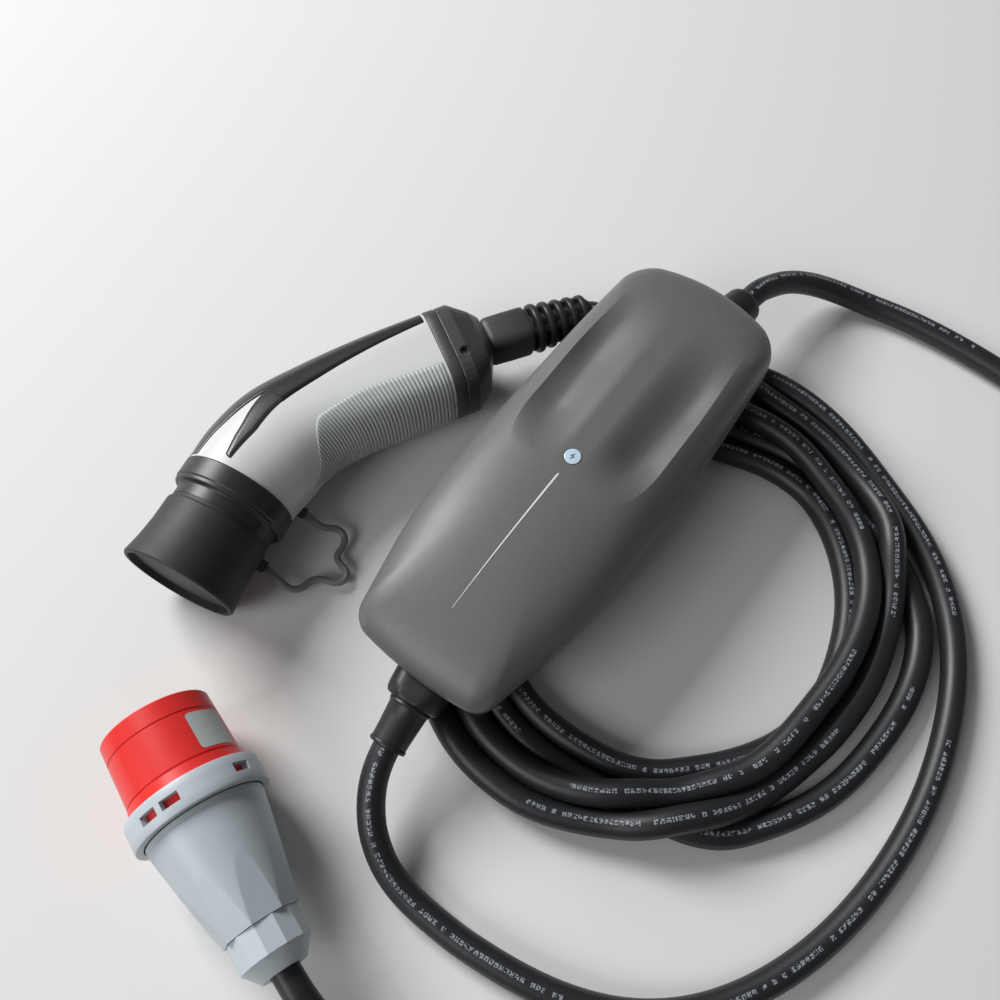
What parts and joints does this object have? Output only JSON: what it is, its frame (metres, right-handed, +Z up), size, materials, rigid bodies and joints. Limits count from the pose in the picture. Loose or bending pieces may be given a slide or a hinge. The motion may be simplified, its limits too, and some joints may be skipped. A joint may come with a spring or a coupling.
{
  "type": "portable electric car charger",
  "caption": "In-cable electric car charger: domed control box on a coiled cable, capped vehicle connector with ribbed grip, and an industrial plug.",
  "frame": {"origin": "on the ground, under the middle of the box and connector together", "axes": "+Z up, +Y along the control box towards the supply cable, +X across the control box to the right"},
  "size_m": [0.5082, 0.5266, 0.0823],
  "materials": {
    "upper_cover": "satin, fine speckle",
    "lower_housing": "fine grain",
    "housing_gasket": "dull",
    "indicator_lens": "pale blue, translucent look",
    "light_bar": "milky white",
    "circuit_board": "green board with dark chips",
    "mains_relays": "black",
    "power_supply": "yellow tape and dark capacitors",
    "current_sensor": "dark blue",
    "terminal_blocks": "green",
    "core_wires": "five core colours",
    "cable_clamps": "black",
    "housing_screws": "zinc plated",
    "outlet_strain_relief": "smooth",
    "supply_strain_relief": "grooved",
    "dust_cap": "dull",
    "cap_tether": "smooth grey",
    "tether_clip": "dull",
    "front_collar": "satin black",
    "contact_carrier": "black",
    "power_contacts": "silver plated",
    "signal_contacts": "silver plated",
    "nose_seal": "smooth",
    "handle_cover_upper": "light grey, smooth",
    "handle_cover_lower": "light grey, smooth",
    "grip_pad": "light grey with fine ribs",
    "back_strip": "black, half gloss",
    "rear_flange": "dark grey",
    "rear_cap": "black",
    "rear_screws": "zinc plated",
    "connector_clamp": "grey",
    "bend_relief": "smooth",
    "plug_sleeve": "red",
    "plug_pin_carrier": "black",
    "plug_pins": "nickel plated",
    "plug_locking_ring": "pale grey",
    "plug_housing": "pale grey, satin",
    "plug_gland_nut": "pale grey, satin",
    "plug_gland_seal": "smooth",
    "outlet_cable": "dull black",
    "cable_coil": "dull black",
    "connector_cable": "dull black",
    "supply_cable": "dull black"
  },
  "bodies": {
    "charger": {"upper_cover": "upper_cover", "lower_housing": "lower_housing", "housing_gasket": "housing_gasket", "indicator_lens": "indicator_lens", "light_bar": "light_bar", "circuit_board": "circuit_board", "mains_relays": "mains_relays", "power_supply": "power_supply", "current_sensor": "current_sensor", "terminal_blocks": "terminal_blocks", "core_wires": "core_wires", "cable_clamps": "cable_clamps", "housing_screws": "housing_screws", "outlet_strain_relief": "outlet_strain_relief", "supply_strain_relief": "supply_strain_relief", "cap_tether": "cap_tether", "tether_clip": "tether_clip", "front_collar": "front_collar", "contact_carrier": "contact_carrier", "power_contacts": "power_contacts", "signal_contacts": "signal_contacts", "nose_seal": "nose_seal", "handle_cover_upper": "handle_cover_upper", "handle_cover_lower": "handle_cover_lower", "grip_pad": "grip_pad", "back_strip": "back_strip", "rear_flange": "rear_flange", "rear_cap": "rear_cap", "rear_screws": "rear_screws", "connector_clamp": "connector_clamp", "bend_relief": "bend_relief", "plug_sleeve": "plug_sleeve", "plug_pin_carrier": "plug_pin_carrier", "plug_pins": "plug_pins", "plug_locking_ring": "plug_locking_ring", "plug_housing": "plug_housing", "plug_gland_nut": "plug_gland_nut", "plug_gland_seal": "plug_gland_seal", "outlet_cable": "outlet_cable", "cable_coil": "cable_coil", "connector_cable": "connector_cable", "supply_cable": "supply_cable"},
    "cap": {"dust_cap": "dust_cap"}
  },
  "joints": [
    {"name": "dust_cap_pull", "type": "slide", "parent": "charger", "child": "cap", "axis": [0.1925, -0.9813, 0], "range_m": [0, 0.05], "deforming": ["cap_tether"]}
  ]
}
